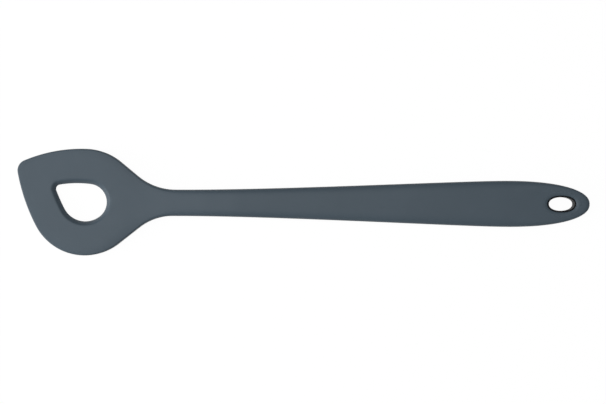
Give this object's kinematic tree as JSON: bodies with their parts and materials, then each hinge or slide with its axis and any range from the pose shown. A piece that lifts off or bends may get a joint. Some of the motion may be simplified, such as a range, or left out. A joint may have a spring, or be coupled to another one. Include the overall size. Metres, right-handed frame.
{
  "type": "silicone spoon",
  "caption": "Flat silicone mixing spoon with a pointed stirring hole in its head, a slim neck, a swelling handle and an oval hanging eye, moulded over a stiff core.",
  "frame": {"origin": "centre of the bounding box in plan, on the plane that the back lies on", "axes": "+X along the handle to its butt, +Z out of the dished front of the head, +Y to the side of the head with the pointed corner"},
  "size_m": [0.29, 0.0542, 0.009],
  "materials": {
    "silicone": "satin",
    "nylon": "matte"
  },
  "bodies": {
    "root": {"silicone_skin": "silicone", "stiff_core": "nylon"}
  },
  "joints": []
}
